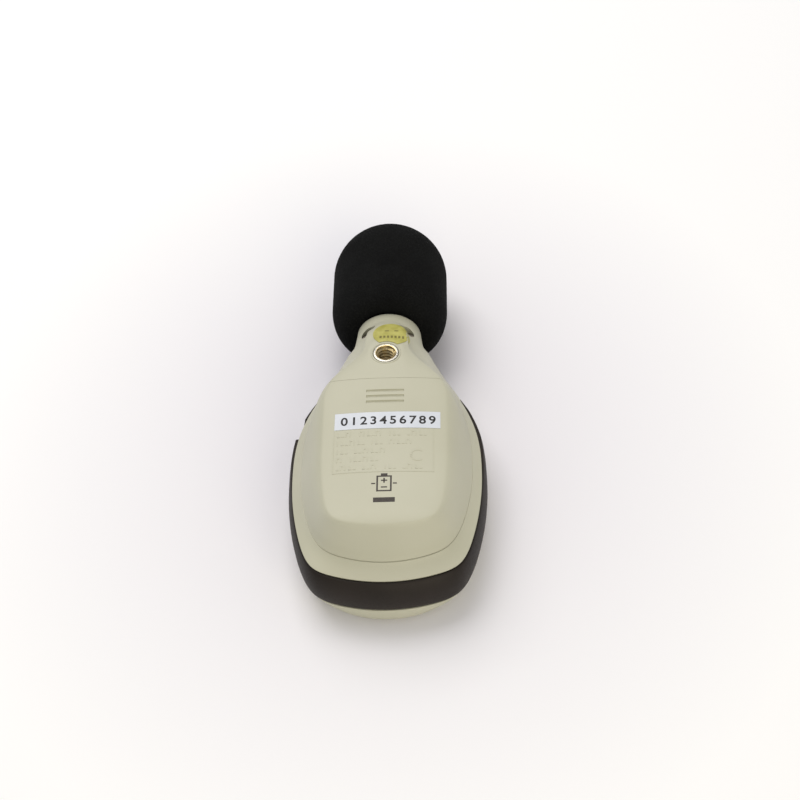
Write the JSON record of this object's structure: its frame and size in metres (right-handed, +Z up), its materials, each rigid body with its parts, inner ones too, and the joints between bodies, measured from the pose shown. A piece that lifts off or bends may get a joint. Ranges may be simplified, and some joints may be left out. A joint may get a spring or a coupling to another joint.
{
  "type": "sound level meter",
  "caption": "Pocket sound level meter lying face down: egg-shaped case with side grip band, battery door, tripod thread, keys, display and foam windscreen.",
  "frame": {"origin": "middle of the whole outline, on the plane of the flat front face that the meter lies on", "axes": "+Z up out of the back of the case, +Y towards the microphone, +X to the right as seen from the back with the microphone pointing away"},
  "size_m": [0.057, 0.1378, 0.0358],
  "materials": {
    "shell": "fine matt spark texture",
    "grip": "soft matt moulding",
    "window": "clear polished",
    "black_plastic": "satin",
    "display": "polished",
    "diffuser": "frosted",
    "zebra": "matt",
    "board": "solder mask",
    "key_red": "soft matt",
    "key_grey": "soft matt",
    "nickel": "nickel plated",
    "steel": "zinc plated",
    "capsule": "turned",
    "gasket": "matt",
    "foam": "open-cell foam",
    "bush": "nickel plated face, plain brass thread",
    "battery_sleeve": "printed film",
    "contact": "plated",
    "chip": "moulded epoxy",
    "can": "printed sleeve",
    "cream_plastic": "moulded",
    "blue_plastic": "moulded",
    "label": "printed film",
    "sticker": "printed film"
  },
  "bodies": {
    "case": {"front_shell": "shell", "rear_shell": "shell", "side_band": "grip", "lcd_window": "window", "lcd_bezel": "black_plastic", "lcd_glass": "display", "backlight_panel": "diffuser", "zebra_strip": "zebra", "main_board": "board", "key_switches": "black_plastic", "side_switch": "black_plastic", "mic_tube": "steel", "mic_capsule": "capsule", "mic_grid": "steel", "mic_gasket": "gasket", "mic_clamp": "black_plastic", "tripod_bush": "bush", "battery_case": "battery_sleeve", "battery_end_plate": "black_plastic", "battery_studs": "nickel", "contact_block": "black_plastic", "battery_contacts": "contact", "neck_screws": "steel", "case_screws": "steel", "board_screws": "steel", "controller_chip": "chip", "amplifier_chip": "chip", "crystal": "nickel", "capacitors": "can", "chip_resistors": "chip", "shield_can": "steel", "board_header": "cream_plastic", "trimmer_base": "blue_plastic", "check_sticker": "sticker"},
    "door": {"battery_door": "shell", "serial_label": "label"},
    "power_button": {"power_key": "key_red", "power_plunger": "black_plastic"},
    "hold_button": {"hold_key": "key_grey", "hold_plunger": "black_plastic"},
    "light_button": {"light_key": "key_grey", "light_plunger": "black_plastic"},
    "side_button": {"side_key": "key_grey", "side_plunger": "black_plastic"},
    "foam": {"windscreen": "foam"},
    "trimmer": {"trimmer_rotor": "cream_plastic"}
  },
  "joints": [
    {"name": "door_slide", "type": "slide", "parent": "case", "child": "door", "axis": [0, -1, 0], "range_m": [0, 0.06]},
    {"name": "power_press", "type": "slide", "parent": "case", "child": "power_button", "axis": [0, 0, 1], "range_m": [0, 0.0007], "stiffness_N_per_m": 1500, "springref_m": -0.0004},
    {"name": "hold_press", "type": "slide", "parent": "case", "child": "hold_button", "axis": [0, 0, 1], "range_m": [0, 0.0007], "stiffness_N_per_m": 1500, "springref_m": -0.0004},
    {"name": "light_press", "type": "slide", "parent": "case", "child": "light_button", "axis": [0, 0, 1], "range_m": [0, 0.0007], "stiffness_N_per_m": 1500, "springref_m": -0.0004},
    {"name": "side_press", "type": "slide", "parent": "case", "child": "side_button", "axis": [1, 0, 0], "range_m": [0, 0.0007], "stiffness_N_per_m": 1500, "springref_m": -0.0004},
    {"name": "windscreen_pull", "type": "slide", "parent": "case", "child": "foam", "axis": [0, 1, 0], "range_m": [0, 0.03]},
    {"name": "trimmer_turn", "type": "hinge", "parent": "case", "child": "trimmer", "pos_m": [0.0126, 0.0043, 0.012], "axis": [0, 0, 1], "range_deg": [-130, 130]}
  ]
}
